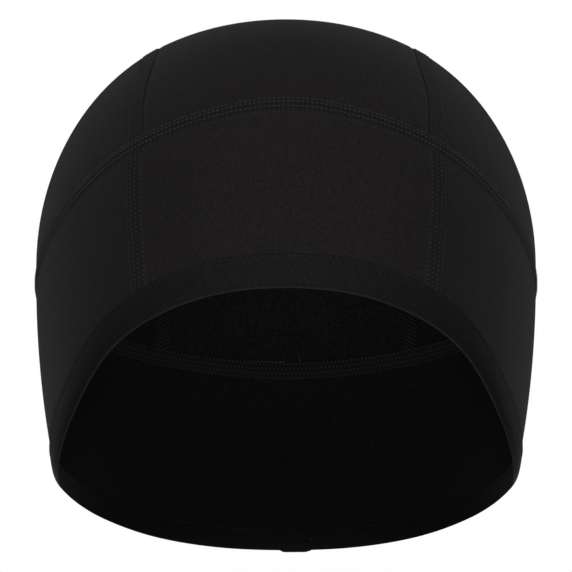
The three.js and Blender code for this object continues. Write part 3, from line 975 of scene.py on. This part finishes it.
BINDING_HEIGHT = 11
INNER_SHARE, INNER_SWELL = 0.8, 0.5  # the inner leaf's height and relief, of the outer one's
TAPE_STEP = 0.85  # between two rings of the tape's mesh
SLOT_FOOT, SLOT_TOP, SLOT_BACK_TOP, SLOT_GAP = 1.6, 10.75, 8.6, 0.04  # the slot in it that holds the cloth
SLOT_BOTTOM, SLOT_MIDDLE = (1.3, -0.3), -CLOTH / 2
LAP_OFFSET, LAP_LENGTH, LAP_GAP, LAP_RAMP, LAP_GROWTH = 4.2, 9.6, 0.3, 1.5, 0.9
DROP_TURN, DROP_LEAST, DROP_HEIGHT = 1.2, 0.3, 4  # the upper end's fold hangs lower than the tape's
DIP_TURN, DIP, DIP_AHEAD, DIP_BEHIND = 175.2, 1.5, 2.6, 8.5  # the inner leaf's top edge dips at the lap
CREASE_TURN, CREASE_WIDTH, CREASE_HEIGHT, CREASE_REACH = 71, 3.2, 5.5, 2.4  # where the creases lie
CREASE, CREASE_STEP, CREASE_SLANT = 0.2, 2.6, 4  # their depth, their waves' length and slant
FOLD_OUT = -0.36
DIP_BLEND, LEAF_BLEND = 0.5, 0.3  # how soon the dip and the climb change from leaf to leaf
INNER_GROWTH, FOLD_GROWTH, FOLD_REACH = -0.55, 0.3, 2.4  # the inner leaf climbs inwards, the fold less

# Heights over the fold, and over the cloth's outer face, from the top edge down to the fold
outer_leaf = np.array(
    [[10.86, 0.12], [11.02, 0.32], [10.9, 0.52], [10.6, 0.62], [10.3, 0.6], [9.9, 0.67]]
    + [[9.4, 0.67], [8.93, 0.62], [8.4, 0.72], [7.2, 0.78], [5.6, 0.8], [4.2, 0.78]]
    + [[3.0, 0.68], [2.0, 0.5], [1.2, 0.26], [0.6, 0.02], [0.2, -0.18], [0.0, FOLD_OUT]]
)
inner_heights = np.interp(outer_leaf[:-1, 0], [0, 3, 11.1], [0, 2.8, 11.1 * INNER_SHARE])
inner_leaf = np.stack([inner_heights, -cloth_depth(inner_heights) - INNER_SWELL * outer_leaf[:-1, 1]], -1)
tape_outer = np.concatenate([outer_leaf, inner_leaf[::-1]])
slot_share = np.linspace(1, 0, len(inner_leaf))
slot_front = np.stack([lerp(SLOT_FOOT, SLOT_TOP, slot_share), 0 * slot_share + SLOT_GAP], -1)
slot_heights = lerp(SLOT_FOOT, SLOT_BACK_TOP, slot_share)
slot_back = np.stack([slot_heights, -cloth_depth(slot_heights) - SLOT_GAP], -1)
tape_inner = np.concatenate([slot_front, [SLOT_BOTTOM], slot_back[::-1]])


def back_turn_at(x):
    """The turn at the nape at which the rim is x to the wearer's left of the middle."""
    return solve(lambda turn: head_point(rim_line(turn))[..., 0] - x, 120.0, 240.0)


lap_start = back_turn_at(LAP_OFFSET - LAP_LENGTH / 2)
lap_end = back_turn_at(LAP_OFFSET + LAP_LENGTH / 2) - 360
climb_end = back_turn_at(LAP_OFFSET - LAP_LENGTH / 2 - LAP_GAP) - 360
climb_start = back_turn_at(LAP_OFFSET - LAP_LENGTH / 2 - LAP_GAP - LAP_RAMP) - 360


def off_front(turn):
    """Degrees from the front, to either side."""
    return np.abs((turn + 180) % 360 - 180)


def crumple(turn, height):
    """Small creases of the tape before each ear, where it turns from steep to level: waves slanted across
    the tape, under a bell round the place."""
    aside = off_front(turn)
    past, over = (aside - CREASE_TURN) / CREASE_WIDTH, (height - CREASE_HEIGHT) / CREASE_REACH
    bell = np.exp(-(past**2) - over**2)
    return CREASE * bell * np.sin(2 * math.pi * (aside / CREASE_STEP + height / CREASE_SLANT))


def tape_place(turn, height, out):
    """The point at a turn, a height over the rim's fold and a height over the cloth's face. Over the lap the
    tape climbs onto itself on all sides, and its inner leaf dips there."""
    share = np.clip((turn - climb_start) / (climb_end - climb_start), 0, 1)
    grown = share * share * (3 - 2 * share) * LAP_GROWTH
    low = np.clip((DROP_HEIGHT - height) / DROP_HEIGHT, 0, 1)
    drop = grown * np.clip((turn - lap_end) / DROP_TURN, DROP_LEAST, 1) * low
    inside = np.clip((SLOT_MIDDLE - out) / DIP_BLEND, 0, 1) * height / (BINDING_HEIGHT * INNER_SHARE)
    past = turn % 360 - DIP_TURN
    dip = DIP * inside * np.exp(-((past / np.where(past > 0, DIP_AHEAD, DIP_BEHIND)) ** 2))
    face = np.clip((out - FOLD_OUT) / LEAF_BLEND, INNER_GROWTH, 1)
    face = face * np.clip(height / FOLD_REACH, FOLD_GROWTH, 1)
    lift = out + face * grown + np.where(face > 0, crumple(turn, height), 0)
    return lifted(beside(rim_line, turn, height - drop - dip), lift)


tape_turns, tape_run = even(rim_line, lap_start, lap_end, TAPE_STEP)
tape_ring = np.concatenate([tape_outer, tape_inner[::-1]])
tape_points = tape_place(tape_turns[:, None], tape_ring[None, :, 0], tape_ring[None, :, 1])
tape_index = np.arange(tape_points[..., 0].size).reshape(tape_points.shape[:2])
tape_faces = carried(tape_index, len(tape_outer))
tape_girth = runs(np.concatenate([tape_ring, np.zeros((len(tape_ring), 1))], 1), 0)
tape_map = np.stack(np.broadcast_arrays(tape_run[:, None], tape_girth[None]), -1) / 1000

# A painted highlight makes the tape paler on its fold, as far back as the ears, and on the inner leaf's top
# edge. A painted shadow darkens its cut end
HIGHLIGHT_TURN, HIGHLIGHT_FADE, TOP_HIGHLIGHT, END_SHADOW = 104, 18, 0.6, 0.9
FOLD_PART, TOP_PART = (0.3, -0.5), (8.4, -1.3)  # below and outside the one, above and inside the other
on_fold = (tape_ring[:, 0] < FOLD_PART[0]) & (tape_ring[:, 1] > FOLD_PART[1])
on_top = (tape_ring[:, 0] > TOP_PART[0]) & (tape_ring[:, 1] < TOP_PART[1])
highlight_share = np.clip((HIGHLIGHT_TURN - off_front(tape_turns)[:, None]) / HIGHLIGHT_FADE, 0, 1)
tape_painted_highlight = highlight_share * on_fold + TOP_HIGHLIGHT * on_top
tape_end_shadow = np.zeros(tape_painted_highlight.shape)
tape_end_shadow[-1] = END_SHADOW
TAPE_RIB, TAPE_LOOP = 0.00046, 0.0004  # in metres


def tape_bump(shade):
    """A finer knit than the jersey's, its ribs across the tape, with a little fuzz."""
    place = shade.node("ShaderNodeUVMap", {"uv_map": "cloth"}, {})
    split = shade.node("ShaderNodeSeparateXYZ", {}, {0: place})
    fuzz = place.noise(2600.0, 2.0)
    rib, loop = (split * (1 / TAPE_RIB)).wave(), (split.output("Y") * (1 / TAPE_LOOP)).wave()
    height = rib * 0.35 + loop * 0.3 + fuzz * 1.4
    return shade.node("ShaderNodeBump", {}, {"Strength": 0.5, "Distance": 0.00012, "Height": height})


def tape_colour(shade):
    """Near black with specks, paler with a painted highlight where the edge attribute says, and darkened by a
    painted shadow at the cut end.
    """
    place = shade.node("ShaderNodeTexCoord", {}, {}).output("Object")
    fibres = place.noise(1100.0, 2.0)
    specks = place.noise(1500.0, 0.0)
    tone = fibres * 4.4 - 1.8 + shade.maths("MAXIMUM", specks * 14 - 9.8, 0.0)
    edge = shade.node("ShaderNodeAttribute", {"attribute_name": "edge"}, {}).output("Fac")
    tape = tone.blend((0.0017, 0.0015, 0.0013), (0.0061, 0.0055, 0.0052))
    # painted highlight on the fold and on the inner leaf's top edge
    tape = edge.blend(tape, (0.0175, 0.0165, 0.0155))
    # painted shadow on the cut end of the lap
    end = shade.node("ShaderNodeAttribute", {"attribute_name": "end"}, {}).output("Fac")
    return end.blend(tape, (0.0008, 0.0007, 0.0007))


binding_tape = material(
    "binding_tape",
    Base_Color=tape_colour,
    Roughness=0.7,
    Specular_IOR_Level=0.16,
    Sheen_Weight=0.03,
    Sheen_Roughness=0.35,
    Normal=tape_bump,
)
tape_maps = {"cloth": tape_map, "edge": tape_painted_highlight[..., None], "end": tape_end_shadow[..., None]}
binding = add_piece(
    "binding", tape_points, tape_faces, [binding_tape], ["rim_binding"], tape_maps
)


def tape_frame(turn, height, out):
    """A point on the tape with the ways ahead and out: steps along it and up it, and their cross product."""
    turn, height, out = np.broadcast_arrays(turn, height, out)
    ahead = unit(tape_place(turn - 0.05, height, out) - tape_place(turn + 0.05, height, out))
    over = tape_place(turn, height + 0.1, out) - tape_place(turn, height - 0.1, out)
    return tape_place(turn, height, out), ahead, unit(np.cross(over, ahead))


# The zigzag's short threads lie along its two edges, and its long ones run down and up between them
EDGE_TOP, EDGE_MIDDLE, EDGE_FOOT, EDGE_STITCH = 10.3, 9.6, 8.93, 2.05
SHORT_OUT, SHORT_THREAD = 0.6, (0.7, 0.32, 0.26)  # height over the cloth; length, width and height
LONG_OUT, LONG_THREAD = 0.65, (0.18, 0.16)  # height over the cloth; width and height
top_turns, _ = even(rim_line, lap_start, lap_end, EDGE_STITCH)
foot_turns = (top_turns[1:] + top_turns[:-1]) / 2
groups = []
for height, turns in ((EDGE_TOP, top_turns), (EDGE_FOOT, foot_turns)):
    place, ahead, out = tape_frame(turns, height, SHORT_OUT)
    groups.append(threads(place, ahead, out, *SHORT_THREAD))
tops, _, _ = tape_frame(top_turns, EDGE_TOP, LONG_OUT)
feet, _, _ = tape_frame(foot_turns, EDGE_FOOT, LONG_OUT)
_, _, out = tape_frame(foot_turns, EDGE_MIDDLE, LONG_OUT)
for start, end in ((tops[:-1], feet), (feet, tops[1:])):
    way = end - start
    length = np.linalg.norm(way, axis=-1)
    groups.append(threads((start + end) / 2, unit(way), out, length, *LONG_THREAD, around=4, finish=1))

# A speck of pale thread by the lap's cut end, inside: turns past the end, heights over the fold, and radii
SPECK = np.array([[0.4, 0.1, -0.1, -0.2], [5.4, 4.9, 4.2, 3.6], [0.1, 0.2, 0.26, 0.14]])
speck = tape_place(lap_end + SPECK[0], SPECK[1], -CLOTH - 0.5)
groups.append((*strand(speck, SPECK[2])[:2], 2))
edge_thread = thread_finish("edge_thread", (0.0125, 0.0118, 0.0108), 0.5, 0.3)
add_threads("binding_stitches", groups, [edge_thread, cover_thread, needle_thread])
